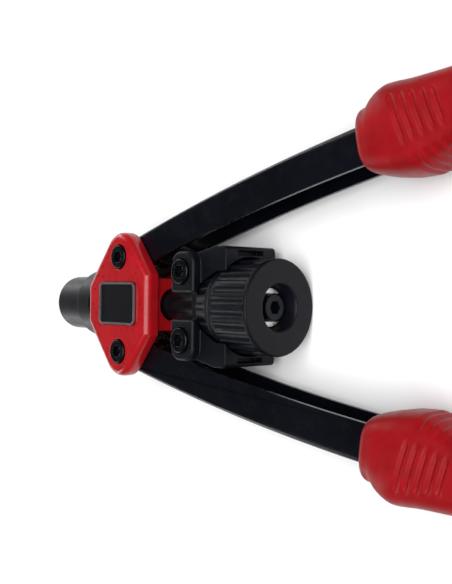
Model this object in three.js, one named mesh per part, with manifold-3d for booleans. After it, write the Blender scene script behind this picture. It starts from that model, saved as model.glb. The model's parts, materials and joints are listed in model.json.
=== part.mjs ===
// Hand-operated rivet-nut setter: two lever arms drive a crosshead along the tool's axis through toggle
// links, and a spin knob behind the crosshead turns the threaded mandrel.
// Millimetres, +Z up. The tool lies flat: its axis runs along X with the nose towards -X, and the two
// arms spread in the XY plane. The model is laid out about the point where the axis crosses the line
// through the arm pivots, and the exported group then lifts it so that its origin lies straight below
// that point, on the head's flat back face.
import * as THREE from "three";
import { mergeVertices } from "three/addons/utils/BufferGeometryUtils.js";
import Module from "manifold-3d";

const wasm = await Module();
wasm.setup();

// ---- Driving dimensions, in millimetres and degrees ----
const GAP = 0.3; // running and assembly clearance between neighbouring pieces
const FINE = 30; // facets round a large turned piece
const COARSE = 12; // facets round a bolt or a pin
const CURVE_STEPS = 5; // straight pieces along an outline's arc
const PAST = 1; // how far a cutting body runs past the face that it opens
const WELL_PAST = 5; // the same, where the opened side is curved
const SLIVER = 0.01; // keeps two arcs that meet from sharing a point

const PIVOT_Y = 25.6; // each arm pivot stands this far from the tool's axis
const LEAN = { upper: 3, lower: 2 }; // play in the linkage lets both arms lean about +Z at rest

const HEAD = {
  halfThick: 20.5,
  frontX: -29,
  rearX: 24.7,
  frontHalfY: 10.5,
  rearHalfY: 16,
  endRadius: 13.4,
  chamferIn: 3,
  chamferDown: 3.4,
  slotHalfZ: 12,
  slotFloorY: 14,
  blockRearX: 22.3,
  mouthRadius: 8.7,
  tubeRoom: 1,
};
const BADGE = {
  x: 31.7,
  y: 22.8,
  centreY: 0.4,
  corner: 3,
  recess: 0.6,
  thick: 1.5,
  rim: 1.1,
  rimHeight: 0.45,
};
const TUBE = { radius: 7.5, bore: 4.6, frontX: -42, rearX: 52.7 };
const BUSH = { outer: 10.2, frontX: -8, rearX: 16 };
const NOSE = {
  barrelFrontX: -68.5,
  barrelRearX: -42.6,
  barrelRadius: 15.4,
  shoulderX: -42.2,
  shoulderRadius: 18.4,
  collarX: -41.4,
  collarRadius: 19.2,
  skirtX: -19,
  skirtRadius: 19.4,
  spigotRadius: 11,
  spigotX: -10,
  wideBore: 8.3,
  narrowBore: 6.8,
  stepX: -53.5,
  edge: 1.6,
  spigotRoot: 1.5,
};
const LOCK_RING = { frontX: -73, radius: 11.2, edge: 0.8 };
const TIP = { frontX: -78.5, tailRadius: 6.5, tailX: -56.5, headRadius: 7.5, bore: 4.4, edge: 1 };
const PIVOT_BOLT = {
  shank: 3.9,
  headRadius: 6.3,
  headRoom: 0.5,
  headBottomZ: 17.3,
  headTopZ: 21.2,
  nutRadius: 7.5,
  nutRoom: 0.6,
  nutTopZ: -16,
  endProud: 0.4,
  nutProud: 0.8,
};
const SOCKET = { acrossFlats: 6, pivotBoltDepth: 2.6, linkBoltDepth: 1.7, mandrelDepth: 4 };

const ARM = {
  arcX: 361.5,
  arcY: -1244.5,
  outer: 1330,
  inner: 1312.4,
  halfWidth: 11.5,
  sheet: 2.5,
  lobe: 10.6,
  webStartX: 20,
  webRoom: 0.5,
  rearX: 256,
};
const ARM_BUSH = { outer: 5.3, bore: 4.2, innerZ: 4.6, outerZ: 11.6 };
const CRANK = { throw: 10, angle: 52, pin: 2.5, pinInset: 0.1 }; // the angle is from +Y towards +X
const GRIP = { frontX: 160, pocketLength: 102, pocketPast: 12, lip: 3, around: 24, squareness: 3 };
// Grip stations: distance from the front face, then the depths outside and inside the arm's centre line,
// and the half width across the cheeks.
const GRIP_STATIONS = [
  [0, 13.5, 11.2, 13.6],
  [3, 18.5, 13, 16],
  [9, 22, 15.4, 17],
  [17, 22.6, 17.6, 17.2],
  [28, 20.8, 18.8, 16.8],
  [36, 20, 17, 16.2],
  [44, 19.3, 14.4, 15.7],
  [54, 18.6, 13, 15.2],
  [72, 17, 13, 15],
  [92, 16.6, 13.4, 15],
  [106, 18, 15.4, 15.6],
  [114, 16.4, 14.2, 14],
  [118, 11.5, 9.8, 9.5],
];

const LINK = { halfThick: 3.9, end: 5.4, pinHole: 3.4, rearX: 54.1, rearY: 17.1 };
const LINK_REST = { upper: 161.91, lower: -162.19 }; // direction from the link bolt to the crank pin
const LINK_BOLT = { shank: 3, headRadius: 6.2, seatZ: 20.4, topZ: 23.1, nutRadius: 5.8 };

const YOKE = {
  frontX: 46.8,
  earRearX: 63.9,
  earInnerY: 6.7,
  earOuterY: 27.2,
  earHalfZ: 22,
  earCorner: 6.2,
  chamfer: 0.8,
  slotInnerY: 9.7,
  slotHalfZ: 4.2,
  slotRearX: 59.9,
  hubRadius: 9.5,
  hubFrontX: 50,
  wallX: 57,
  wallInset: 1.5,
  cavityX: 60.9,
  shoulderX: 74,
  shoulderY: 29.5,
  rearX: 82,
  cageCorner: 2,
  halfZ: 17,
  knobPlay: 0.8,
  mouthPlay: 1.1,
  journal: 6.2,
  pocketInY: 25.4,
  pocketOutY: 27.3,
  pocketHalfZ: 8.7,
  pocketDepth: 5,
};
const KNOB = {
  frontX: 61.3,
  frontRadius: 18.5,
  ringX: 71,
  ringFrontRadius: 20.5,
  ringRadius: 21.5,
  gripX: 77.6,
  gripRadius: 23.2,
  discX: 98,
  rearX: 102.1,
  discRadius: 23.5,
  flutes: 24,
  fluteDepth: 1.6,
  mouth: 11.4,
  throat: 9.95,
  mouthDepth: 1,
  mouthFlare: 1.2,
  edge: 0.8,
  overlap: 0.5,
  pocketRadius: 14.8,
  pocketX: 72.4,
};
// One rib and valley of the knob: [share of the pitch, whether the outline is out on the rib].
const RIB = [
  [0.02, false],
  [0.38, false],
  [0.5, true],
  [0.9, true],
];
const CORE = {
  spigot: 5.9,
  frontX: 54.6,
  flangeX: 68.1,
  flangeRadius: 13.4,
  bodyX: 72,
  radius: 9.6,
  rearX: 94.8,
  bore: 4.4,
  slotHalfY: 6.8,
  slotX: 90.2,
};
const RACES = {
  inner: 6.3,
  outer: 13,
  frontX: [61.2, 63],
  cageX: [63.5, 65.5],
  rearX: [66, 67.8],
  balls: 8,
  ball: 0.95,
  cageHalfThick: 0.4,
  cageInset: 0.5,
};
const CLIP = { inner: 5.6, outer: 7.3, frontX: 55.1, rearX: 55.9, groove: 5.3 };
const MANDREL = {
  shank: 4,
  headRadius: 6.5,
  headChamfer: 0.6,
  seatX: 90.5,
  faceX: 98.5,
  tipX: -83,
  tipChamfer: 1.2,
};

// ---- Finishes ----
const RED_ENAMEL = { color: 0xc8141e, roughness: 0.25, metalness: 0 };
const RED_GRIP = { color: 0xb0161b, roughness: 0.45, metalness: 0 };
const BLACK_PAINT = { color: 0x0b0c0e, roughness: 0.28, metalness: 0 };
const BLACK_CASTING = { color: 0x242629, roughness: 0.5, metalness: 0.2 };
const BLACK_PLASTIC = { color: 0x29292c, roughness: 0.55, metalness: 0 };
const BLACK_STEEL = { color: 0x1d1e20, roughness: 0.4, metalness: 0.8 };
const ZINC_STEEL = { color: 0xc9ccd0, roughness: 0.28, metalness: 1 };
const BRONZE = { color: 0x9a7440, roughness: 0.4, metalness: 1 };
const BADGE_BLACK = { color: 0x101114, roughness: 0.35, metalness: 0.3 };

// ---- Solid helpers ----

// A three.js geometry as a manifold-3d solid, with its faces turned outwards.
function solidOf(geometry) {
  const loose = geometry.index ? geometry.toNonIndexed() : geometry;
  const bare = new THREE.BufferGeometry().setAttribute("position", loose.getAttribute("position"));
  const merged = mergeVertices(bare, 1e-4);
  const corners = merged.index.array;
  const build = (swap) => {
    const triangles = [];
    for (let i = 0; i < corners.length; i += 3) {
      const [a, b, c] = corners.slice(i, i + 3);
      if (a === b || b === c || c === a) continue;
      triangles.push(a, swap ? c : b, swap ? b : c);
    }
    const triVerts = new Uint32Array(triangles);
    return new wasm.Manifold(
      new wasm.Mesh({ numProp: 3, vertProperties: merged.attributes.position.array, triVerts }),
    );
  };
  const made = build(false);
  return made.volume() > 0 ? made : build(true);
}

function join(solids) {
  return solids.reduce((whole, piece) => whole.add(piece));
}

function cut(solid, tools) {
  return tools.reduce((left, tool) => left.subtract(tool), solid);
}

// A round bar along Z.
function bar(x, y, radius, lowZ, highZ, facets = COARSE) {
  const geometry = new THREE.CylinderGeometry(radius, radius, highZ - lowZ, facets);
  return solidOf(geometry.rotateX(Math.PI / 2).translate(x, y, (lowZ + highZ) / 2));
}

// A body turned about the tool's axis from [x, radius] pairs.
function turned(profile, facets = FINE) {
  const outline = profile.map(([x, radius]) => new THREE.Vector2(radius, x));
  return solidOf(new THREE.LatheGeometry(outline, facets).rotateZ(-Math.PI / 2));
}

// A plain round body or ring about the tool's axis.
function ring(frontX, rearX, outer, inner = 0, facets = FINE) {
  const profile = [
    [frontX, inner],
    [frontX, outer],
    [rearX, outer],
    [rearX, inner],
  ];
  return turned(inner ? [...profile, profile[0]] : profile, facets);
}

function block([x0, x1], [y0, y1], [z0, z1]) {
  const geometry = new THREE.BoxGeometry(x1 - x0, y1 - y0, z1 - z0);
  return solidOf(geometry.translate((x0 + x1) / 2, (y0 + y1) / 2, (z0 + z1) / 2));
}

// A flat outline in XY raised from lowZ to highZ, with an optional chamfer round both faces.
function prism(shape, lowZ, highZ, chamferIn = 0, chamferDown = 0) {
  const geometry = new THREE.ExtrudeGeometry(shape, {
    depth: highZ - lowZ - 2 * chamferDown,
    curveSegments: CURVE_STEPS,
    bevelEnabled: chamferIn > 0,
    bevelThickness: chamferDown,
    bevelSize: chamferIn,
    bevelOffset: -chamferIn,
    bevelSegments: 1,
  });
  return solidOf(geometry.translate(0, 0, lowZ + chamferDown));
}

function roundedRectangle(x0, x1, y0, y1, corner) {
  const shape = new THREE.Shape();
  shape.moveTo(x0 + corner, y0);
  shape.absarc(x1 - corner, y0 + corner, corner, -Math.PI / 2, 0, false);
  shape.absarc(x1 - corner, y1 - corner, corner, 0, Math.PI / 2, false);
  shape.absarc(x0 + corner, y1 - corner, corner, Math.PI / 2, Math.PI, false);
  shape.absarc(x0 + corner, y0 + corner, corner, Math.PI, 1.5 * Math.PI, false);
  return shape;
}

// A hexagonal bar along Z, sized across its flats.
function hexBar(x, y, acrossFlats, lowZ, highZ) {
  return bar(x, y, acrossFlats / Math.sqrt(3), lowZ, highZ, 6);
}

function meshOf(name, solid, finish) {
  const { vertProperties, triVerts } = solid.getMesh();
  const geometry = new THREE.BufferGeometry();
  geometry.setAttribute("position", new THREE.BufferAttribute(vertProperties, 3));
  geometry.setIndex(new THREE.BufferAttribute(triVerts, 1));
  geometry.computeVertexNormals();
  const mesh = new THREE.Mesh(geometry, new THREE.MeshStandardMaterial(finish));
  mesh.name = name;
  return mesh;
}

// ---- Head ----

// Where a line from a corner touches a circle, on the side that the turn's sign picks.
function tangentAngle(corner, centre, radius, sign) {
  const away = corner.clone().sub(centre);
  return away.angle() + sign * Math.acos(radius / away.length());
}

// The head's outline: a long hexagon whose two ends are rounded about the arm pivots.
function headOutline(grow = 0) {
  const radius = HEAD.endRadius + grow;
  const pivot = new THREE.Vector2(0, PIVOT_Y);
  const rear = new THREE.Vector2(HEAD.rearX + grow, HEAD.rearHalfY);
  const front = new THREE.Vector2(HEAD.frontX - grow, HEAD.frontHalfY);
  const rearAngle = tangentAngle(rear, pivot, radius, 1) - 2 * Math.PI;
  const frontAngle = tangentAngle(front, pivot, radius, -1);
  const shape = new THREE.Shape();
  shape.moveTo(rear.x, -rear.y);
  shape.lineTo(rear.x, rear.y);
  shape.absarc(0, PIVOT_Y, radius, rearAngle, frontAngle, false);
  shape.lineTo(front.x, front.y);
  shape.lineTo(front.x, -front.y);
  shape.absarc(0, -PIVOT_Y, radius, -frontAngle, -rearAngle, false);
  return shape;
}

function headCasting() {
  const { halfThick, slotHalfZ, slotFloorY, chamferIn, chamferDown } = HEAD;
  const blank = prism(headOutline(), -halfThick, halfThick, chamferIn, chamferDown);
  const span = [HEAD.frontX - PAST, HEAD.rearX + PAST];
  const armSlots = [1, -1].map((side) => {
    const reach = [side * slotFloorY, side * (PIVOT_Y + HEAD.endRadius + PAST)].sort((a, b) => a - b);
    return block(span, reach, [-slotHalfZ, slotHalfZ]);
  });
  const stepHalfY = slotFloorY + PAST;
  const rearStep = block([HEAD.blockRearX, span[1]], [-stepHalfY, stepHalfY], [-slotHalfZ, slotHalfZ]);
  const bores = [
    ring(BUSH.rearX + PAST, span[1], HEAD.mouthRadius),
    ring(BUSH.frontX - PAST, BUSH.rearX + PAST + GAP, BUSH.outer + GAP),
    ring(span[0], NOSE.spigotX + GAP, NOSE.spigotRadius + GAP),
    ring(NOSE.spigotX, BUSH.frontX, TUBE.radius + HEAD.tubeRoom),
  ];
  const bolts = [1, -1].flatMap((side) => {
    const y = side * PIVOT_Y;
    return [
      bar(0, y, PIVOT_BOLT.shank + GAP, -halfThick - PAST, halfThick + PAST),
      bar(0, y, PIVOT_BOLT.headRadius + PIVOT_BOLT.headRoom, PIVOT_BOLT.headBottomZ - GAP, halfThick + PAST),
      bar(0, y, PIVOT_BOLT.nutRadius + PIVOT_BOLT.nutRoom, -halfThick - PAST, PIVOT_BOLT.nutTopZ + GAP),
    ];
  });
  const badgeBed = prism(badgeOutline(GAP), halfThick - BADGE.recess, halfThick + PAST);
  return cut(blank, [...armSlots, rearStep, ...bores, ...bolts, badgeBed]);
}

function badgeOutline(grow = 0) {
  const { x, y, centreY, corner } = BADGE;
  const halfX = x / 2 + grow;
  const halfY = y / 2 + grow;
  return roundedRectangle(-halfX, halfX, centreY - halfY, centreY + halfY, corner + grow);
}

// A plain plate with a raised rim.
function badgePlate() {
  const bottom = HEAD.halfThick - BADGE.recess + GAP;
  const top = bottom + BADGE.thick;
  const field = prism(badgeOutline(-BADGE.rim), top - BADGE.rimHeight, top + PAST);
  return prism(badgeOutline(), bottom, top).subtract(field);
}

function guideBush() {
  return ring(BUSH.frontX, BUSH.rearX, BUSH.outer, TUBE.radius + GAP);
}

// Barrel, collar and a skirt that saddles the wedge-shaped front of the head casting.
function noseHousing() {
  const { edge } = NOSE;
  const body = turned([
    [NOSE.barrelFrontX, NOSE.narrowBore],
    [NOSE.barrelFrontX, NOSE.barrelRadius - edge],
    [NOSE.barrelFrontX + edge / 2, NOSE.barrelRadius - edge / 3],
    [NOSE.barrelFrontX + edge, NOSE.barrelRadius],
    [NOSE.barrelRearX, NOSE.barrelRadius],
    [NOSE.shoulderX, NOSE.shoulderRadius],
    [NOSE.collarX, NOSE.collarRadius],
    [NOSE.skirtX, NOSE.skirtRadius],
    [NOSE.skirtX, NOSE.wideBore],
    [NOSE.stepX, NOSE.wideBore],
    [NOSE.stepX, NOSE.narrowBore],
    [NOSE.barrelFrontX, NOSE.narrowBore],
  ]);
  const saddle = prism(headOutline(GAP), -HEAD.halfThick - GAP, HEAD.halfThick + GAP);
  const spigot = ring(HEAD.frontX - NOSE.spigotRoot, NOSE.spigotX, NOSE.spigotRadius, NOSE.wideBore);
  return body.subtract(saddle).add(spigot);
}

function lockRing() {
  const { frontX, radius, edge } = LOCK_RING;
  const rearX = NOSE.barrelFrontX - GAP;
  return turned([
    [frontX, NOSE.narrowBore],
    [frontX, radius - edge],
    [frontX + edge, radius],
    [rearX, radius],
    [rearX, NOSE.narrowBore],
    [frontX, NOSE.narrowBore],
  ]);
}

function nosepiece() {
  const headRear = LOCK_RING.frontX - GAP;
  return turned(
    [
      [TIP.frontX, TIP.bore],
      [TIP.frontX, TIP.headRadius - TIP.edge],
      [TIP.frontX + TIP.edge, TIP.headRadius],
      [headRear, TIP.headRadius],
      [headRear, TIP.tailRadius],
      [TIP.tailX, TIP.tailRadius],
      [TIP.tailX, TIP.bore],
      [TIP.frontX, TIP.bore],
    ],
    COARSE,
  );
}

// A low-head socket screw along Z.
function socketBolt(x, y, { shank, headRadius, bottomZ, topZ, endZ, depth }) {
  const head = bar(x, y, headRadius, bottomZ, topZ, COARSE);
  const stem = bar(x, y, shank, endZ, bottomZ + PAST, COARSE);
  return head.add(stem).subtract(hexBar(x, y, SOCKET.acrossFlats, topZ - depth, topZ + PAST));
}

function pivotBolt(y) {
  const { shank, headRadius, headBottomZ, headTopZ } = PIVOT_BOLT;
  const endZ = -HEAD.halfThick - PIVOT_BOLT.endProud;
  const depth = SOCKET.pivotBoltDepth;
  return socketBolt(0, y, { shank, headRadius, bottomZ: headBottomZ, topZ: headTopZ, endZ, depth });
}

function pivotNut(y) {
  const { nutRadius, nutProud, nutTopZ, shank } = PIVOT_BOLT;
  const endZ = -HEAD.halfThick - nutProud;
  return bar(0, y, nutRadius, endZ, nutTopZ, 6).subtract(bar(0, y, shank + GAP, endZ - PAST, nutTopZ + PAST));
}

// ---- Arms: each piece is drawn for the upper arm, then mirrored for the lower one ----

function arcAngle(x, radius) {
  return Math.PI / 2 + Math.asin((ARM.arcX - x) / radius);
}

// The strip between two arcs about the arm's centre of curvature.
function armBand(innerRadius, outerRadius, frontX, rearX) {
  const middle = (innerRadius + outerRadius) / 2;
  const front = arcAngle(frontX, middle);
  const rear = arcAngle(rearX, middle);
  const shape = new THREE.Shape();
  shape.absarc(ARM.arcX, ARM.arcY, outerRadius, rear, front, false);
  shape.absarc(ARM.arcX, ARM.arcY, innerRadius, front, rear, true);
  return shape;
}

function crankPoint() {
  const angle = THREE.MathUtils.degToRad(CRANK.angle);
  return [CRANK.throw * Math.sin(angle), PIVOT_Y + CRANK.throw * Math.cos(angle)];
}

function armChannel() {
  const { outer, inner, halfWidth, sheet, lobe, webStartX, webRoom, rearX } = ARM;
  const inside = halfWidth - sheet;
  const blank = join([
    prism(armBand(inner, outer, 0, rearX), -halfWidth, halfWidth),
    bar(0, PIVOT_Y, lobe, -halfWidth, halfWidth, FINE),
  ]);
  const [pinX, pinY] = crankPoint();
  return cut(blank, [
    prism(armBand(inner - WELL_PAST, outer - sheet, webStartX / 2, rearX + WELL_PAST), -inside, inside),
    block([-lobe - PAST, webStartX + webRoom], [0, 2 * PIVOT_Y], [-inside, inside]),
    bar(0, PIVOT_Y, ARM_BUSH.outer + GAP, -halfWidth - PAST, halfWidth + PAST),
    bar(pinX, pinY, CRANK.pin + GAP, -halfWidth - PAST, halfWidth + PAST),
  ]);
}

function pivotBush(side) {
  const [low, high] = [side * ARM_BUSH.innerZ, side * ARM_BUSH.outerZ].sort((a, b) => a - b);
  const blank = bar(0, PIVOT_Y, ARM_BUSH.outer, low, high);
  return blank.subtract(bar(0, PIVOT_Y, ARM_BUSH.bore, low - PAST, high + PAST));
}

function crankPin() {
  const [x, y] = crankPoint();
  const halfLength = ARM.halfWidth - CRANK.pinInset;
  return bar(x, y, CRANK.pin, -halfLength, halfLength);
}

// A rounded section lofted through the grip's stations along the arm's curve.
function gripBlank() {
  const { around, squareness } = GRIP;
  const middle = (ARM.outer + ARM.inner) / 2;
  const frontAngle = arcAngle(GRIP.frontX, middle);
  const corners = [];
  const triangles = [];
  GRIP_STATIONS.forEach(([along, outward, inward, half]) => {
    const angle = frontAngle - along / middle;
    for (let i = 0; i < around; i++) {
      const turn = (2 * Math.PI * i) / around;
      const [c, s] = [Math.cos(turn), Math.sin(turn)];
      const size = (Math.abs(c) ** squareness + Math.abs(s) ** squareness) ** (-1 / squareness);
      const radius = middle + (s > 0 ? outward : inward) * s * size;
      corners.push(ARM.arcX + radius * Math.cos(angle), ARM.arcY + radius * Math.sin(angle), half * c * size);
    }
  });
  const rings = GRIP_STATIONS.length;
  for (let r = 0; r + 1 < rings; r++) {
    for (let i = 0; i < around; i++) {
      const [a, b] = [r * around + i, r * around + ((i + 1) % around)];
      triangles.push(a, b, b + around, a, b + around, a + around);
    }
  }
  for (let i = 1; i + 1 < around; i++) {
    const last = (rings - 1) * around;
    triangles.push(0, i + 1, i, last, last + i, last + i + 1);
  }
  const geometry = new THREE.BufferGeometry();
  geometry.setAttribute("position", new THREE.Float32BufferAttribute(corners, 3));
  geometry.setIndex(triangles);
  return solidOf(geometry);
}

// The moulding slides over the channel and fills it, so all it leaves open is a slot of the channel's
// own U section.
function grip() {
  const rearX = GRIP.frontX + GRIP.pocketLength;
  const room = armBand(ARM.inner - GAP, ARM.outer + GAP, GRIP.frontX - GRIP.pocketPast, rearX);
  const tongueOuter = ARM.outer - ARM.sheet - GAP;
  const tongue = armBand(ARM.inner - WELL_PAST, tongueOuter, GRIP.frontX + GRIP.lip, rearX + WELL_PAST);
  const half = ARM.halfWidth + GAP;
  const tongueHalf = ARM.halfWidth - ARM.sheet - GAP;
  const slot = prism(room, -half, half).subtract(prism(tongue, -tongueHalf, tongueHalf));
  return gripBlank().subtract(slot);
}

// ---- Link: drawn from its bolt at the origin towards +X ----

function linkLength() {
  const [pinX, pinY] = crankPoint();
  return Math.hypot(LINK.rearX - pinX, LINK.rearY - pinY);
}

function toggleLink() {
  const { end, halfThick, pinHole } = LINK;
  const length = linkLength();
  const blank = prism(roundedRectangle(-end, length + end, -end, end, end - SLIVER), -halfThick, halfThick);
  return cut(blank, [
    bar(0, 0, LINK_BOLT.shank + GAP, -halfThick - PAST, halfThick + PAST),
    bar(length, 0, pinHole, -halfThick - PAST, halfThick + PAST),
  ]);
}

// ---- Crosshead ----

function cageOutline() {
  const { wallX, wallInset, earOuterY, shoulderX, shoulderY, rearX, cageCorner: corner } = YOKE;
  const shape = new THREE.Shape();
  shape.moveTo(wallX, -earOuterY + wallInset);
  shape.lineTo(shoulderX, -shoulderY);
  shape.absarc(rearX - corner, -shoulderY + corner, corner, -Math.PI / 2, 0, false);
  shape.absarc(rearX - corner, shoulderY - corner, corner, 0, Math.PI / 2, false);
  shape.lineTo(shoulderX, shoulderY);
  shape.lineTo(wallX, earOuterY - wallInset);
  return shape;
}

function ear(side) {
  const { frontX, earRearX, earInnerY, earOuterY, earHalfZ, earCorner } = YOKE;
  const shape = new THREE.Shape();
  shape.moveTo(frontX, side * earInnerY);
  shape.lineTo(earRearX, side * earInnerY);
  const quarter = (side * Math.PI) / 2;
  const clockwise = side < 0;
  shape.absarc(earRearX - earCorner, side * (earOuterY - earCorner), earCorner, 0, quarter, clockwise);
  const cornerY = side * (earOuterY - earCorner);
  shape.absarc(frontX + earCorner, cornerY, earCorner, quarter, 2 * quarter, clockwise);
  return prism(shape, -earHalfZ, earHalfZ, YOKE.chamfer, YOKE.chamfer);
}

// The room that the knob spins in, a little larger than the knob.
function knobRoom() {
  const play = YOKE.knobPlay;
  return turned([
    [YOKE.cavityX, 0],
    [YOKE.cavityX, KNOB.frontRadius + play],
    [KNOB.ringX, KNOB.ringFrontRadius + play],
    [KNOB.ringX, KNOB.ringRadius + play],
    [KNOB.gripX - play, KNOB.ringRadius + play],
    [KNOB.gripX - play, KNOB.gripRadius + play],
    [YOKE.rearX + PAST, KNOB.gripRadius + YOKE.mouthPlay],
    [YOKE.rearX + PAST, 0],
  ]);
}

function crosshead() {
  const { halfZ, hubRadius, hubFrontX, wallX, frontX, rearX } = YOKE;
  const body = join([
    prism(cageOutline(), -halfZ, halfZ, YOKE.chamfer, YOKE.chamfer),
    ear(1),
    ear(-1),
    ring(hubFrontX, wallX + PAST, hubRadius),
  ]);
  const cuts = [
    knobRoom(),
    ring(frontX - PAST, wallX, TUBE.radius + GAP),
    ring(wallX - PAST, rearX, YOKE.journal),
  ];
  for (const side of [1, -1]) {
    const sorted = (a, b) => [side * a, side * b].sort((p, q) => p - q);
    const { earOuterY, slotInnerY, slotHalfZ, slotRearX } = YOKE;
    const { pocketInY, pocketOutY, pocketHalfZ, pocketDepth } = YOKE;
    const boltY = side * LINK.rearY;
    cuts.push(
      block([frontX - PAST, slotRearX], sorted(slotInnerY, earOuterY + WELL_PAST), [-slotHalfZ, slotHalfZ]),
      block([rearX - pocketDepth, rearX + PAST], sorted(pocketInY, pocketOutY), [-pocketHalfZ, pocketHalfZ]),
      bar(LINK.rearX, boltY, LINK_BOLT.shank + GAP, -YOKE.earHalfZ - PAST, YOKE.earHalfZ + PAST),
      bar(LINK.rearX, boltY, LINK_BOLT.headRadius + GAP, LINK_BOLT.seatZ, YOKE.earHalfZ + PAST),
      bar(LINK.rearX, boltY, LINK_BOLT.nutRadius + GAP, -YOKE.earHalfZ - PAST, -LINK_BOLT.seatZ),
    );
  }
  return cut(body, cuts);
}

function guideTube() {
  return ring(TUBE.frontX, TUBE.rearX, TUBE.radius, TUBE.bore);
}

function linkBolt(side) {
  const { shank, headRadius, seatZ, topZ } = LINK_BOLT;
  const depth = SOCKET.linkBoltDepth;
  const bottomZ = seatZ + GAP;
  return socketBolt(LINK.rearX, side * LINK.rearY, { shank, headRadius, bottomZ, topZ, endZ: -topZ, depth });
}

function linkNut(side) {
  const { nutRadius, shank, seatZ, topZ } = LINK_BOLT;
  const [x, y] = [LINK.rearX, side * LINK.rearY];
  const nut = bar(x, y, nutRadius, -topZ, -seatZ - GAP, 6);
  return nut.subtract(bar(x, y, shank + GAP, -topZ - PAST, -seatZ + PAST));
}

function race([frontX, rearX]) {
  return ring(frontX, rearX, RACES.outer, RACES.inner, COARSE);
}

function ballCage() {
  const [frontX, rearX] = RACES.cageX;
  const pitch = (RACES.outer + RACES.inner) / 2;
  const middle = (frontX + rearX) / 2;
  const { outer, inner, cageHalfThick, cageInset } = RACES;
  const plate = [middle - cageHalfThick, middle + cageHalfThick];
  const pieces = [ring(...plate, outer - cageInset, inner + cageInset, COARSE)];
  for (let i = 0; i < RACES.balls; i++) {
    const turn = (2 * Math.PI * i) / RACES.balls;
    const ball = new THREE.SphereGeometry(RACES.ball, 6, 4);
    pieces.push(solidOf(ball.translate(middle, pitch * Math.cos(turn), pitch * Math.sin(turn))));
  }
  return join(pieces);
}

function retainingRing() {
  return ring(CLIP.frontX, CLIP.rearX, CLIP.outer, CLIP.inner, COARSE);
}

// ---- Knob ----

// A fluted drum along X: rounded ribs between flat valleys, tapered from one radius to the other.
function flutedDrum(frontX, rearX, frontRadius, rearRadius) {
  const shape = new THREE.Shape();
  const step = (2 * Math.PI) / KNOB.flutes;
  const valley = 1 - KNOB.fluteDepth / rearRadius;
  for (let i = 0; i < KNOB.flutes; i++) {
    for (const [part, out] of RIB) {
      const turn = (i + part) * step;
      const scale = out ? 1 : valley;
      const method = i === 0 && part === RIB[0][0] ? "moveTo" : "lineTo";
      shape[method](scale * Math.cos(turn), scale * Math.sin(turn));
    }
  }
  const geometry = new THREE.ExtrudeGeometry(shape, { depth: 1, bevelEnabled: false });
  const place = geometry.getAttribute("position");
  for (let i = 0; i < place.count; i++) {
    const [y, z, along] = [place.getX(i), place.getY(i), place.getZ(i)];
    const radius = THREE.MathUtils.lerp(frontRadius, rearRadius, along);
    place.setXYZ(i, THREE.MathUtils.lerp(frontX, rearX, along), y * radius, z * radius);
  }
  return solidOf(geometry);
}

function knobShell() {
  const { frontX, ringX, gripX, discX, rearX, frontRadius, ringFrontRadius, ringRadius, gripRadius } = KNOB;
  const { discRadius, mouth, mouthDepth, mouthFlare, throat, pocketRadius, pocketX, overlap, edge } = KNOB;
  const collar = turned([
    [ringX, 0],
    [ringX, ringRadius - edge],
    [ringX + edge, ringRadius],
    [gripX + overlap, ringRadius],
    [gripX + overlap, 0],
  ]);
  const disc = turned([
    [discX, 0],
    [discX, discRadius],
    [rearX - edge, discRadius],
    [rearX, discRadius - edge],
    [rearX, 0],
  ]);
  const drums = [
    flutedDrum(frontX, ringX + overlap, frontRadius, ringFrontRadius),
    flutedDrum(gripX, discX + overlap, gripRadius, gripRadius),
  ];
  const hollow = turned([
    [frontX - PAST, 0],
    [frontX - PAST, pocketRadius],
    [pocketX, pocketRadius],
    [pocketX, throat],
    [CORE.rearX, throat],
    [rearX - mouthDepth, mouth],
    [rearX + PAST, mouth + mouthFlare],
    [rearX + PAST, 0],
  ]);
  return join([collar, disc, ...drums]).subtract(hollow);
}

function driveCore() {
  const { spigot, frontX, flangeX, flangeRadius, bodyX, radius, rearX, bore } = CORE;
  const blank = turned([
    [frontX, bore],
    [frontX, spigot],
    [CLIP.frontX - GAP, spigot],
    [CLIP.frontX - GAP, CLIP.groove],
    [CLIP.rearX + GAP, CLIP.groove],
    [CLIP.rearX + GAP, spigot],
    [flangeX, spigot],
    [flangeX, flangeRadius],
    [bodyX, flangeRadius],
    [bodyX, radius],
    [rearX, radius],
    [rearX, bore],
    [frontX, bore],
  ]);
  const slotHalfZ = radius + PAST;
  const slot = block([CORE.slotX, rearX + PAST], [-CORE.slotHalfY, CORE.slotHalfY], [-slotHalfZ, slotHalfZ]);
  return blank.subtract(slot);
}

function mandrel() {
  const { shank, headRadius, headChamfer, seatX, faceX, tipX, tipChamfer } = MANDREL;
  const body = turned(
    [
      [tipX, 0],
      [tipX, shank - tipChamfer],
      [tipX + tipChamfer, shank],
      [seatX, shank],
      [seatX, headRadius],
      [faceX - headChamfer, headRadius],
      [faceX, headRadius - headChamfer],
      [faceX, 0],
    ],
    COARSE,
  );
  const reach = SOCKET.acrossFlats / Math.sqrt(3);
  const socket = new THREE.CylinderGeometry(reach, reach, SOCKET.mandrelDepth + PAST, 6);
  const centreX = faceX + (PAST - SOCKET.mandrelDepth) / 2;
  return body.subtract(solidOf(socket.rotateZ(Math.PI / 2).translate(centreX, 0, 0)));
}

// ---- Assembly ----

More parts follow.
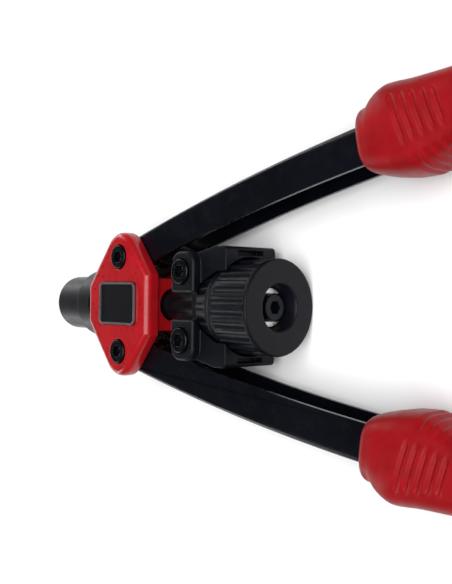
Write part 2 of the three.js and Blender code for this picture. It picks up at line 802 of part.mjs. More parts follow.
function headGroup() {
  const group = new THREE.Group();
  group.add(
    meshOf("head_casting", headCasting(), RED_ENAMEL),
    meshOf("badge_plate", badgePlate(), BADGE_BLACK),
    meshOf("guide_bush", guideBush(), BRONZE),
    meshOf("nose_housing", noseHousing(), BLACK_STEEL),
    meshOf("nose_lock_ring", lockRing(), BLACK_STEEL),
    meshOf("upper_pivot_bolt", pivotBolt(PIVOT_Y), BLACK_STEEL),
    meshOf("lower_pivot_bolt", pivotBolt(-PIVOT_Y), BLACK_STEEL),
    meshOf("upper_pivot_nut", pivotNut(PIVOT_Y), BLACK_STEEL),
    meshOf("lower_pivot_nut", pivotNut(-PIVOT_Y), BLACK_STEEL),
  );
  return group;
}

// One arm with everything that swings with it. The lower arm is the upper one mirrored in the XZ plane.
function armGroup(name, side) {
  const group = new THREE.Group();
  const pieces = [
    [`${name}_arm`, armChannel(), BLACK_PAINT],
    [`${name}_grip`, grip(), RED_GRIP],
    [`${name}_crank_pin`, crankPin(), BLACK_STEEL],
    [`${name}_front_bush`, pivotBush(1), BRONZE],
    [`${name}_back_bush`, pivotBush(-1), BRONZE],
  ];
  for (const [pieceName, solid, finish] of pieces) {
    const mesh = meshOf(pieceName, solid, finish);
    mesh.position.y = -PIVOT_Y;
    group.add(mesh);
  }
  group.scale.y = side;
  group.rotation.z = THREE.MathUtils.degToRad(LEAN[name]);
  group.position.y = side * PIVOT_Y;
  return group;
}

function linkMesh(name, side) {
  const mesh = meshOf(`${name}_link`, toggleLink(), BLACK_STEEL);
  mesh.position.set(LINK.rearX, side * LINK.rearY, 0);
  mesh.rotation.z = THREE.MathUtils.degToRad(LINK_REST[name]);
  return mesh;
}

function crossheadGroup() {
  const group = new THREE.Group();
  group.add(
    meshOf("crosshead", crosshead(), BLACK_CASTING),
    meshOf("guide_tube", guideTube(), BLACK_STEEL),
    meshOf("upper_link_bolt", linkBolt(1), BLACK_STEEL),
    meshOf("lower_link_bolt", linkBolt(-1), BLACK_STEEL),
    meshOf("upper_link_nut", linkNut(1), BLACK_STEEL),
    meshOf("lower_link_nut", linkNut(-1), BLACK_STEEL),
    meshOf("bearing_front_race", race(RACES.frontX), ZINC_STEEL),
    meshOf("bearing_ball_cage", ballCage(), ZINC_STEEL),
    meshOf("core_retaining_ring", retainingRing(), ZINC_STEEL),
  );
  return group;
}

function knobGroup() {
  const group = new THREE.Group();
  group.add(
    meshOf("knob_shell", knobShell(), BLACK_PLASTIC),
    meshOf("drive_core", driveCore(), ZINC_STEEL),
    meshOf("bearing_rear_race", race(RACES.rearX), ZINC_STEEL),
    meshOf("mandrel", mandrel(), BLACK_STEEL),
  );
  return group;
}

function riveter() {
  const tool = new THREE.Group();
  tool.add(
    headGroup(),
    meshOf("nosepiece", nosepiece(), BLACK_STEEL),
    armGroup("upper", 1),
    armGroup("lower", -1),
    linkMesh("upper", 1),
    linkMesh("lower", -1),
    crossheadGroup(),
    knobGroup(),
  );
  tool.position.z = HEAD.halfThick;
  const group = new THREE.Group();
  group.add(tool);
  return group;
}

const group = riveter();
export default group;
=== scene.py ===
# %% [markdown]
# # A lever rivet-nut setter, part by part
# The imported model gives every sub-part its place, size and motion. This lesson builds the surfaces that
# the eye sees: enamelled casting, pressed steel arms, moulded grips, a fluted nylon knob and the small
# turned and hexagonal hardware. Each step first says what the real piece is and how it could be made.

# %% Load the frame
import json
import math

import bpy
from mathutils import Matrix, Vector


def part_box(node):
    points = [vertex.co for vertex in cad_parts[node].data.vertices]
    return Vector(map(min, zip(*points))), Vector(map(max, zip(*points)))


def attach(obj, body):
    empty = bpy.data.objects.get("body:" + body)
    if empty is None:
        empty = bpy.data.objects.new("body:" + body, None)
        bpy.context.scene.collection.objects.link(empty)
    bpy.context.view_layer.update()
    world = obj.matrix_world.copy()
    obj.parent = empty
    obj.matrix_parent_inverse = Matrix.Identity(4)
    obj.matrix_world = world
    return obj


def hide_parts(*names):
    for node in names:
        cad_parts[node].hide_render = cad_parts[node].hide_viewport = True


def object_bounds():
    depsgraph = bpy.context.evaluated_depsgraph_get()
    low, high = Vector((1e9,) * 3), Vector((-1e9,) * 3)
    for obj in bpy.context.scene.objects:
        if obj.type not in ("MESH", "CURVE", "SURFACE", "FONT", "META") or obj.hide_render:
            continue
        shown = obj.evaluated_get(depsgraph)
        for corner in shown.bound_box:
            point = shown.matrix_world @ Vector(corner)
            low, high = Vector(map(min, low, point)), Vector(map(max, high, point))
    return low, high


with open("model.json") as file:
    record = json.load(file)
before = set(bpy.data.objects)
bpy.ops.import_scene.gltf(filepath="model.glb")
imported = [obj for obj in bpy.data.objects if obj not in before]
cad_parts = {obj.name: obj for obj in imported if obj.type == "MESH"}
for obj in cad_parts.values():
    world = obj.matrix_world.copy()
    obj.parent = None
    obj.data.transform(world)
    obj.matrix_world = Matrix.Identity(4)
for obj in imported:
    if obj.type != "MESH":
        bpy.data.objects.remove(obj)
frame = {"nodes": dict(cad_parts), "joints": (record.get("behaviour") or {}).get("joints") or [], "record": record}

CAD_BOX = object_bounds()
MM = 0.001
JOINTS = {joint["name"]: joint for joint in frame["joints"]}
PIVOT = Vector(JOINTS["upper_arm_hinge"]["pos_m"])
AXIS_Z = PIVOT.z
PIVOT_Y = PIVOT.y / MM
LINK_X, LINK_Y = (value / MM for value in JOINTS["upper_link_hinge"]["pos_m"][:2])
print("frame loaded:", len(frame["nodes"]), "CAD nodes")

# %% [markdown]
# Every size below is in millimetres on the tool's own axis: X runs from the nose to the knob, Y across the
# arms and Z out of the badge. One helper turns such a point into metres in the shared frame, and another
# reads a CAD node's box back into the same millimetres, so no place is typed twice.

# %% Places
def at(x, y=0.0, z=0.0):
    return Vector((x * MM, y * MM, z * MM + AXIS_Z))


def span(node):
    """A CAD node's lowest and highest corner, in millimetres on the tool's axis."""
    low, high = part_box(node)
    lift = Vector((0, 0, AXIS_Z))
    return (low - lift) / MM, (high - lift) / MM


# %% [markdown]
# The hand tools of the lesson. Anything that Blender adds arrives selected, and so do the CAD nodes, so each
# helper clears the selection first. Booleans, hulls and bevels are done once here and used everywhere.

# %% Modelling helpers
def pick(*pieces):
    bpy.ops.object.select_all(action="DESELECT")
    for piece in pieces:
        piece.select_set(True)
    bpy.context.view_layer.objects.active = pieces[0]


def named(name):
    piece = bpy.context.active_object
    piece.name = name
    piece.data.name = name
    bpy.ops.object.transform_apply(location=True, rotation=True, scale=True)
    return piece


def edit(piece, *steps, mode="EDGE"):
    """Runs edit-mode operators on everything in a piece."""
    pick(piece)
    bpy.ops.object.mode_set(mode="EDIT")
    bpy.ops.mesh.select_mode(type=mode)
    bpy.ops.mesh.select_all(action="SELECT")
    for step in steps:
        step()
    bpy.ops.object.mode_set(mode="OBJECT")


def bar(name, start, end, radius, facets=64, spin=0.0):
    """A round or polygonal bar between two points on the tool's axis system."""
    bpy.ops.object.select_all(action="DESELECT")
    start, end = at(*start), at(*end)
    along = end - start
    bpy.ops.mesh.primitive_cylinder_add(vertices=facets, radius=radius * MM, depth=along.length)
    piece = bpy.context.active_object
    turn = along.to_track_quat("Z", "Y").to_matrix().to_4x4()
    piece.matrix_world = Matrix.Translation((start + end) / 2) @ turn @ Matrix.Rotation(spin, 4, "Z")
    return named(name)


def block(name, low, high):
    bpy.ops.object.select_all(action="DESELECT")
    low, high = at(*low), at(*high)
    bpy.ops.mesh.primitive_cube_add(size=1, location=(low + high) / 2)
    bpy.context.active_object.scale = high - low
    return named(name)


def joined(name, pieces):
    pick(*pieces)
    bpy.ops.object.join()
    return named(name)


def hull(name, pieces):
    """The tight convex skin round some pieces, as one closed body of flat faces."""
    piece = joined(name, pieces)
    edit(
        piece,
        lambda: bpy.ops.mesh.convex_hull(),
        lambda: bpy.ops.mesh.dissolve_limited(angle_limit=math.radians(0.5)),
    )
    return piece


def combine(piece, others, how="DIFFERENCE"):
    """Cuts, joins or intersects a piece with others, and removes those."""
    for other in others:
        step = piece.modifiers.new("Combine", "BOOLEAN")
        step.operation = how
        step.solver = "EXACT"
        step.object = other
        pick(piece)
        bpy.ops.object.modifier_apply(modifier=step.name)
        bpy.data.objects.remove(other, do_unlink=True)
    return piece


def clean(piece):
    edit(
        piece,
        lambda: bpy.ops.mesh.remove_doubles(threshold=2e-6),
        lambda: bpy.ops.mesh.dissolve_limited(angle_limit=math.radians(0.4)),
        lambda: bpy.ops.mesh.normals_make_consistent(inside=False),
    )
    return piece


def soften(piece, width=0.4, segments=3, limit=28):
    """Rounds every edge sharper than the limit, because no cast, pressed or moulded edge is razor sharp."""
    if width:
        edge = piece.modifiers.new("Edge", "BEVEL")
        edge.width = width * MM
        edge.segments = segments
        edge.limit_method = "ANGLE"
        edge.angle_limit = math.radians(limit)
        edge.use_clamp_overlap = False
        edge.miter_outer = "MITER_ARC"
        pick(piece)
        bpy.ops.object.modifier_apply(modifier=edge.name)
    return shade(piece)


def shade(piece, angle=38):
    pick(piece)
    bpy.ops.object.shade_smooth_by_angle(angle=math.radians(angle))
    even = piece.modifiers.new("Normals", "WEIGHTED_NORMAL")
    even.keep_sharp = True
    pick(piece)
    bpy.ops.object.modifier_apply(modifier=even.name)
    return piece


def pick_edges(piece, wanted):
    """Selects the edges whose two ends, in tool millimetres, pass a test."""
    pick(piece)
    bpy.ops.object.mode_set(mode="EDIT")
    bpy.ops.mesh.select_mode(type="EDGE")
    bpy.ops.mesh.select_all(action="DESELECT")
    bpy.ops.object.mode_set(mode="OBJECT")
    lift = Vector((0, 0, AXIS_Z))
    for edge in piece.data.edges:
        ends = [(piece.data.vertices[i].co - lift) / MM for i in edge.vertices]
        edge.select = wanted(*ends)
    bpy.ops.object.mode_set(mode="EDIT")


def bevel_edges(piece, wanted, width, segments=1):
    pick_edges(piece, wanted)
    bpy.ops.mesh.bevel(offset=width * MM, segments=segments, affect="EDGES", clamp_overlap=True)
    bpy.ops.object.mode_set(mode="OBJECT")
    return piece


# %% [markdown]
# Turned pieces come off a lathe, so they are drawn as half a section and spun round the axis. The section
# starts from a single corner of a plane, grows by extruding that corner along the outline, and `spin`
# sweeps it through a full turn.

# %% The lathe
def turned(name, outline, steps=96, centre=(0.0, 0.0, 0.0), axis=(1, 0, 0), closed=False):
    """Spins (along, radius) pairs in millimetres about an axis through a centre on the tool's system."""
    axis = Vector(axis)
    out = Vector((0, 0, 1)) if abs(axis.x) > 0.5 else Vector((1, 0, 0))
    middle = at(*centre)
    points = [middle + axis * (along * MM) + out * (radius * MM) for along, radius in outline]
    bpy.ops.object.select_all(action="DESELECT")
    bpy.ops.mesh.primitive_plane_add(size=MM)
    bpy.ops.object.mode_set(mode="EDIT")
    bpy.ops.mesh.select_mode(type="VERT")
    bpy.ops.mesh.select_all(action="SELECT")
    bpy.ops.mesh.merge(type="CENTER")
    bpy.ops.transform.translate(value=points[0])
    for before, after in zip(points, points[1:]):
        bpy.ops.mesh.extrude_vertices_move(TRANSFORM_OT_translate={"value": after - before})
    bpy.ops.mesh.select_all(action="SELECT")
    bpy.ops.mesh.remove_doubles(threshold=1e-6)
    bpy.ops.mesh.select_all(action="SELECT")
    bpy.ops.mesh.spin(steps=steps, angle=2 * math.pi, center=middle, axis=axis)
    bpy.ops.mesh.select_all(action="SELECT")
    bpy.ops.mesh.remove_doubles(threshold=1e-6)
    bpy.ops.mesh.normals_make_consistent(inside=False)
    bpy.ops.object.mode_set(mode="OBJECT")
    return named(name)


# %% [markdown]
# Two or three calls end every piece: it rides on its body, stands for its CAD node and takes its finish.

# %% Finishing a piece
MADE = {}


def fit(piece, body, node, slot):
    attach(piece, body)
    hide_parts(node)
    MADE[piece.name] = slot
    print(piece.name, len(piece.data.polygons), "faces")
    return piece


# %% [markdown]
# ## The head casting
# The head is a pressure die casting: a long hexagon with round ends, bored through for the guide tube and
# slotted at both ends for the arms. It could be drawn as an outline and extruded, but its outline is
# convex, so a hull round two discs and two blocks gives it directly. The wide soft edge round both faces
# comes next, then the machined cuts, and last a small radius on every edge.

# %% Head casting
HALF = span("head_casting")[1].z
HEAD_LOW, HEAD_HIGH = span("head_casting")


def head_blank(name, grow=0.0):
    radius = HEAD_HIGH.y - PIVOT_Y + grow
    thick = HALF + grow
    front, rear = HEAD_LOW.x - grow, HEAD_HIGH.x + grow
    return hull(
        name,
        [
            bar("disc", (0, PIVOT_Y, -thick), (0, PIVOT_Y, thick), radius, 96),
            bar("disc", (0, -PIVOT_Y, -thick), (0, -PIVOT_Y, thick), radius, 96),
            block("front", (front, -10.5, -thick), (0, 10.5, thick)),
            block("rear", (0, -16, -thick), (rear, 16, thick)),
        ],
    )


def rim_edge(a, b):
    return abs(a.z - b.z) < 0.01 and abs(abs(a.z) - HALF) < 0.01


def head_casting():
    head = head_blank("enamelled_head")
    bevel_edges(head, rim_edge, 4.2, 6)
    cuts = [
        block("slot", (-40, 14, -12), (40, 40, 12)),
        block("slot", (-40, -40, -12), (40, -14, 12)),
        block("step", (22.3, -15, -12), (40, 15, 12)),
        bar("bore", (-40, 0, 0), (40, 0, 0), 8.6, 96),
        bar("spigot", (-40, 0, 0), (-9.7, 0, 0), 11.3, 96),
        bar("bush", (-9.8, 0, 0), (16.6, 0, 0), 10.4, 96),
    ]
    for y in (PIVOT_Y, -PIVOT_Y):
        cuts.append(bar("hole", (0, y, -30), (0, y, 30), 4.2, 48))
        cuts.append(bar("counterbore", (0, y, 17.0), (0, y, 30), 6.8, 64))
        cuts.append(bar("pocket", (0, y, -30), (0, y, -15.7), 8.1, 64))
    combine(head, cuts)
    combine(head, [badge_shape("bed", 0.3, HALF - 0.6, HALF + 3)])
    clean(head)
    return soften(head, 0.6, 3, 24)


def badge_shape(name, grow, low, high, corner=3.0):
    """A rounded rectangle plate at the badge's place, from a plane whose four corners are rounded."""
    lo, hi = span("badge_plate")
    bpy.ops.object.select_all(action="DESELECT")
    bpy.ops.mesh.primitive_plane_add(size=1, location=at((lo.x + hi.x) / 2, (lo.y + hi.y) / 2, low))
    bpy.context.active_object.scale = ((hi.x - lo.x + 2 * grow) * MM, (hi.y - lo.y + 2 * grow) * MM, 1)
    plate = named(name)
    edit(
        plate,
        lambda: bpy.ops.mesh.bevel(offset=(corner + grow) * MM, segments=8, affect="VERTICES"),
        mode="VERT",
    )
    edit(
        plate,
        lambda: bpy.ops.mesh.extrude_region_move(TRANSFORM_OT_translate={"value": (0, 0, (high - low) * MM)}),
        lambda: bpy.ops.mesh.select_all(action="SELECT"),
        lambda: bpy.ops.mesh.normals_make_consistent(inside=False),
        mode="FACE",
    )
    return plate


fit(head_casting(), "head", "head_casting", "head_enamel")

# %% [markdown]
# ## The badge
# A thin pressed plate, satin black with a bright raised rim. The rim is left by sinking the field: the top
# face is inset by the rim's width and pushed down. Two materials share the mesh, split by height. It
# carries no name or mark.

# %% Badge
BADGE_TOP = span("badge_plate")[1].z


def badge():
    plate = badge_shape("blank_badge", 0, span("badge_plate")[0].z, BADGE_TOP)
    pick(plate)
    for face in plate.data.polygons:
        face.select = face.normal.z > 0.9
    bpy.ops.object.mode_set(mode="EDIT")
    bpy.ops.mesh.select_mode(type="FACE")
    bpy.ops.mesh.inset(thickness=1.05 * MM)
    bpy.ops.mesh.extrude_region_move(TRANSFORM_OT_translate={"value": (0, 0, -0.5 * MM)})
    bpy.ops.object.mode_set(mode="OBJECT")
    soften(plate, 0.16, 2, 40)
    return plate


badge_piece = fit(badge(), "head", "badge_plate", "badge")


# %% [markdown]
# ## Screws and nuts
# The pivots are low-head socket screws: a turned head with a rounded rim and a hexagon pressed into it, on
# a plain shank. The nuts behind are hexagons whose corners a facing tool has taken off, which is what
# cutting a hexagonal bar with a bevelled disc gives.

# %% Socket screws
def socket_screw(name, x, y, radius, seat, top, end, shank, depth, hexagon=6.0):
    head = bar(name, (x, y, seat), (x, y, top), radius, 72)
    bevel_edges(head, lambda a, b: a.z > top - 0.01 and b.z > top - 0.01, 0.7, 4)
    combine(head, [bar("stem", (x, y, end), (x, y, seat + 0.6), shank, 48)], "UNION")
    key = hexagon / math.sqrt(3)
    socket = bar("socket", (x, y, top - depth), (x, y, top + 2), key, 6, math.pi / 6)
    mouth = turned("mouth", [(0.05, 0), (0.05, key + 0.25), (-0.75, 0.0)], 48, (x, y, top), (0, 0, 1))
    combine(head, [socket, mouth])
    clean(head)
    return soften(head, 0.14, 2, 30)


def hexagon_nut(name, x, y, radius, low, high, hole):
    nut = bar(name, (x, y, low), (x, y, high), radius, 6)
    disc = bar("disc", (x, y, low), (x, y, high), radius * 1.002, 72)
    bevel_edges(disc, lambda a, b: abs(a.z - b.z) < 0.01 and a.z < low + 0.01, 1.0, 3)
    combine(nut, [disc], "INTERSECT")
    combine(nut, [bar("hole", (x, y, low - 1), (x, y, high + 1), hole, 48)])
    clean(nut)
    return soften(nut, 0.12, 2, 30)


for side, sign in (("upper", 1), ("lower", -1)):
    bolt_low, bolt_high = span(side + "_pivot_bolt")
    nut_low, nut_high = span(side + "_pivot_nut")
    y = sign * PIVOT_Y
    screw = socket_screw(side + "_pivot_screw", 0, y, 6.3, 17.3, bolt_high.z, bolt_low.z, 3.9, 2.6)
    fit(screw, "head", side + "_pivot_bolt", "fastener_steel")
    nut = hexagon_nut(side + "_pivot_locknut", 0, y, 7.5, nut_low.z, nut_high.z, 4.2)
    fit(nut, "head", side + "_pivot_nut", "fastener_steel")
    bolt_low, bolt_high = span(side + "_link_bolt")
    nut_low, nut_high = span(side + "_link_nut")
    y = sign * LINK_Y
    screw = socket_screw(side + "_link_screw", LINK_X, y, 6.2, 20.7, bolt_high.z, bolt_low.z, 3.0, 1.7)
    fit(screw, "crosshead", side + "_link_bolt", "fastener_steel")
    nut = hexagon_nut(side + "_link_locknut", LINK_X, y, 5.8, nut_low.z, nut_high.z, 3.3)
    fit(nut, "crosshead", side + "_link_nut", "fastener_steel")

# %% [markdown]
# ## The nose
# Barrel and collar are one turned steel housing. The collar saddles the wedge-shaped front of the
# casting, so after turning, a slightly larger copy of the casting's blank is cut from it.

# %% Nose housing, lock ring and nosepiece
def nose_housing():
    front = span("nose_housing")[0].x
    body = turned(
        "turned_nose_housing",
        [
            (front, 6.8),
            (front, 13.4),
            (front + 0.5, 14.4),
            (front + 1.3, 15.1),
            (front + 2.4, 15.4),
            (-43.6, 15.4),
            (-43.2, 15.15),
            (-42.6, 15.4),
            (-42.3, 18.2),
            (-41.5, 19.1),
            (-30, 19.2),
            (-19, 19.4),
            (-19, 8.3),
            (-53.5, 8.3),
            (-53.5, 6.8),
            (front, 6.8),
        ],
        128,
    )
    combine(body, [head_blank("saddle", 0.3)])
    spigot = turned("spigot", [(-31, 8.3), (-31, 11), (-10, 11), (-10, 8.3), (-31, 8.3)], 96)
    combine(body, [spigot], "UNION")
    clean(body)
    return soften(body, 0.3, 2, 32)


def lock_ring():
    low, high = span("nose_lock_ring")
    ring = turned(
        "knurled_lock_ring",
        [
            (low.x, 6.8),
            (low.x, 10.2),
            (low.x + 0.9, 11.1),
            (high.x - 0.5, 11.1),
            (high.x, 10.7),
            (high.x, 6.8),
            (low.x, 6.8),
        ],
        96,
    )
    grooves = []
    for i in range(18):
        turn = 2 * math.pi * i / 18
        y, z = 11.5 * math.cos(turn), 11.5 * math.sin(turn)
        grooves.append(bar("groove", (low.x - 1, y, z), (high.x + 1, y, z), 0.85, 16))
    combine(ring, [joined("grooves", grooves)])
    clean(ring)
    return soften(ring, 0.12, 2, 30)


def nosepiece():
    low, high = span("nosepiece")
    flats = span("nose_lock_ring")[0].x - 0.3
    piece = turned(
        "hexagon_nosepiece",
        [(low.x, 4.4), (low.x, 6.3), (low.x + 1.4, 7.5), (flats, 7.5), (flats, 6.5), (high.x, 6.5), (high.x, 4.4), (low.x, 4.4)],
        96,
    )
    hexagon = bar("hexagon", (low.x - 1, 0, 0), (flats, 0, 0), 7.6, 6)
    tail = bar("tail", (flats - 0.001, 0, 0), (high.x + 1, 0, 0), 9, 48)
    combine(hexagon, [tail], "UNION")
    combine(piece, [hexagon], "INTERSECT")
    clean(piece)
    return soften(piece, 0.15, 2, 30)


fit(nose_housing(), "head", "nose_housing", "blackened_steel")
fit(lock_ring(), "head", "nose_lock_ring", "blackened_steel")
fit(nosepiece(), "nosepiece", "nosepiece", "blackened_steel")


# %% [markdown]
# ## Guide tube and crosshead
# The crosshead is a cast yoke. Four ears hold the link bolts, a hub takes the guide tube and a cage reaches
# back round the knob. It is built as a foundry pattern is: simple bodies joined together, then cored out.
# The room for the knob is one turned body, a little larger than the knob itself.

# %% Guide tube
def guide_tube():
    low, high = span("guide_tube")
    tube = turned(
        "blackened_guide_tube",
        [(low.x, 4.6), (low.x, 7.0), (low.x + 0.5, 7.5), (high.x - 0.5, 7.5), (high.x, 7.0), (high.x, 4.6), (low.x, 4.6)],
        96,
    )
    return shade(tube)


fit(guide_tube(), "crosshead", "guide_tube", "blackened_steel")

# %% Crosshead casting
YOKE_LOW, YOKE_HIGH = span("crosshead")
CAGE_Z = 17.0


def cage():
    wall, shoulder, rear = 57, 74, YOKE_HIGH.x
    body = hull(
        "coated_crosshead",
        [
            block("front", (wall, -25.7, -CAGE_Z), (wall + 0.01, 25.7, CAGE_Z)),
            block("rear", (shoulder, YOKE_LOW.y, -CAGE_Z), (rear, YOKE_HIGH.y, CAGE_Z)),
        ],
    )
    bevel_edges(body, lambda a, b: a.x > rear - 0.01 and b.x > rear - 0.01 and abs(a.z - b.z) > 1, 2.2, 5)
    return body


def ear(sign):
    lows = sorted((sign * 6.7, sign * 27.2))
    lug = block("ear", (YOKE_LOW.x, lows[0], YOKE_LOW.z), (63.9, lows[1], YOKE_HIGH.z))
    outer = lambda a, b: abs(a.z - b.z) > 1 and abs(a.y - sign * 27.2) < 0.01
    bevel_edges(lug, outer, 6.4, 8)
    return bevel_edges(lug, lambda a, b: abs(a.z - b.z) < 0.01 and abs(abs(a.z) - YOKE_HIGH.z) < 0.01, 0.9, 1)


def knob_room():
    return turned(
        "room",
        [(60.9, 0), (60.9, 19.4), (75.6, 24.2), (90, 24.4), (90, 0)],
        128,
    )


def crosshead():
    body = cage()
    combine(body, [ear(1), ear(-1), bar("hub", (50, 0, 0), (58, 0, 0), 9.5, 96)], "UNION")
    cuts = [
        knob_room(),
        bar("bore", (40, 0, 0), (57, 0, 0), 7.8, 96),
        bar("journal", (50, 0, 0), (70, 0, 0), 6.2, 64),
    ]
    for sign in (1, -1):
        y = sign * LINK_Y
        slot = sorted((sign * 9.7, sign * 40))
        pocket = sorted((sign * 25.3, sign * 27.4))
        cuts += [
            block("slot", (40, slot[0], -4.2), (59.9, slot[1], 4.2)),
            block("pocket", (77, pocket[0], -8.7), (90, pocket[1], 8.7)),
            bar("hole", (LINK_X, y, -30), (LINK_X, y, 30), 3.3, 48),
            bar("seat", (LINK_X, y, 20.4), (LINK_X, y, 30), 6.6, 72),
            bar("seat", (LINK_X, y, -30), (LINK_X, y, -20.4), 6.3, 72),
        ]
    combine(body, cuts)
    clean(body)
    return soften(body, 0.5, 3, 26)


fit(crosshead(), "crosshead", "crosshead", "black_casting")


# %% [markdown]
# ## The knob
# The knob is a nylon moulding in one piece: a fluted cone in front, a smooth collar, a fluted grip and a
# plain rear disc round a funnel mouth. The solid of revolution is turned first. One flute cutter, an oval
# bar with a rounded end, is copied round the axis, and all copies are cut away in one go.

# %% Knob
FLUTES = 24


def flute_set(name, start, end, radius_start, radius_end, half_width, half_depth):
    """Oval cutters round the axis, from one end's radius to the other's."""
    cutters = []
    for i in range(FLUTES):
        turn = 2 * math.pi * (i + 0.5) / FLUTES
        bpy.ops.object.select_all(action="DESELECT")
        bpy.ops.mesh.primitive_uv_sphere_add(segments=28, ring_count=14, radius=MM, location=at(end))
        bpy.context.active_object.scale = (half_width, 1, 1)
        ball = named("round_end")
        cutter = hull("flute", [bar("stem", (start, 0, 0), (end, 0, 0), 1, 28), ball])
        slope = math.atan2(radius_end - radius_start, end - start)
        place = (
            Matrix.Translation(at(0))
            @ Matrix.Rotation(turn, 4, "X")
            @ Matrix.Translation((start * MM, 0, radius_start * MM))
            @ Matrix.Rotation(-slope, 4, "Y")
            @ Matrix.Diagonal((1, half_width, half_depth, 1))
            @ Matrix.Translation((-start * MM, 0, 0))
            @ Matrix.Translation(-at(0))
        )
        cutter.data.transform(place)
        cutters.append(cutter)
    return joined(name, cutters)


def knob():
    low, high = span("knob_shell")
    front, rear = low.x, high.x
    shell = turned(
        "fluted_nylon_knob",
        [
            (front, 14.8),
            (front, 17.9),
            (front + 0.6, 18.6),
            (70.6, 20.6),
            (71.0, 21.0),
            (71.5, 21.5),
            (73.2, 21.6),
            (73.7, 21.1),
            (74.6, 21.1),
            (75.1, 21.7),
            (77.2, 21.9),
            (77.6, 22.6),
            (78.1, 23.3),
            (97.6, 23.5),
            (rear - 1.1, 23.5),
            (rear - 0.35, 23.15),
            (rear, 22.4),
            (rear, 12.5),
            (rear - 0.3, 11.9),
            (rear - 0.9, 11.45),
            (rear - 1.8, 11.25),
            (94.8, 9.98),
            (72.4, 9.98),
            (72.4, 14.8),
            (front, 14.8),
        ],
        192,
    )
    combine(shell, [flute_set("grip_flutes", 76.5, 97.9, 24.3, 24.3, 2.55, 2.6)])
    combine(shell, [flute_set("cone_flutes", 59.5, 68.9, 19.3, 21.2, 2.0, 2.1)])
    clean(shell)
    return soften(shell, 0.16, 2, 34)


fit(knob(), "knob", "knob_shell", "knob_plastic")


# %% [markdown]
# ## Drive core and mandrel
# Down the funnel sits a zinc-plated steel core with a slot milled across it, and in the slot the head of the
# mandrel, a long socket screw. The slot is one straight cut. The screw's thread is so fine at this size
# that rings of the same pitch stand for it.

# %% Drive core
def drive_core():
    low, high = span("drive_core")
    core = turned(
        "slotted_drive_core",
        [
            (low.x, 4.4),
            (low.x, 5.9),
            (54.8, 5.9),
            (54.8, 5.3),
            (56.2, 5.3),
            (56.2, 5.9),
            (68.1, 5.9),
            (68.1, 13.4),
            (72.0, 13.4),
            (72.0, 9.6),
            (high.x - 0.3, 9.6),
            (high.x, 9.3),
            (high.x, 4.4),
            (low.x, 4.4),
        ],
        96,
    )
    combine(core, [block("slot", (90.2, -6.8, -12), (96, 6.8, 12))])
    clean(core)
    return soften(core, 0.12, 2, 32)


fit(drive_core(), "knob", "drive_core", "zinc_steel")


# %% Mandrel
def mandrel():
    low, high = span("mandrel")
    pitch, crest, root = 1.25, 4.0, 3.35
    outline = [(low.x, 0), (low.x, 2.7)]
    x = low.x + 0.9
    while x < low.x + 24:
        outline += [(x, root), (x + 0.45 * pitch, crest), (x + 0.6 * pitch, crest)]
        x += pitch
    outline += [(x, root), (x + 1, crest), (90.5, crest), (90.5, 6.5), (high.x - 0.8, 6.5)]
    outline += [(high.x - 0.25, 6.25), (high.x, 5.6), (high.x, 0)]
    screw = turned("socket_head_mandrel", outline, 72)
    key = 6 / math.sqrt(3)
    mouth = turned("mouth", [(high.x + 0.05, 0), (high.x + 0.05, key + 0.3), (high.x - 0.7, 0)], 48)
    combine(screw, [bar("socket", (high.x - 4, 0, 0), (high.x + 2, 0, 0), key, 6), mouth])
    clean(screw)
    return soften(screw, 0.12, 2, 45)


fit(mandrel(), "knob", "mandrel", "blackened_steel")


# %% [markdown]
# ## Arms
# Each arm is a steel strip pressed into a channel and bent to a slow curve. The bend is a true arc, so the
# channel's own U section is spun through the arc's few degrees about its far centre. The cheeks end in
# round lobes about the pivot, and the web between them is cut back to let the link through.

# %% Arm
ARC = (361.5, -1244.5)
ARC_OUTER, ARC_INNER = 1330.0, 1312.4
CHEEK, SHEET = 11.5, 2.5
CRANK = (10 * math.sin(math.radians(52)), PIVOT_Y + 10 * math.cos(math.radians(52)))
LEAN = {1: math.radians(3), -1: math.radians(2)}


def arc_turn(x):
    return math.asin((ARC[0] - x) / ((ARC_OUTER + ARC_INNER) / 2))


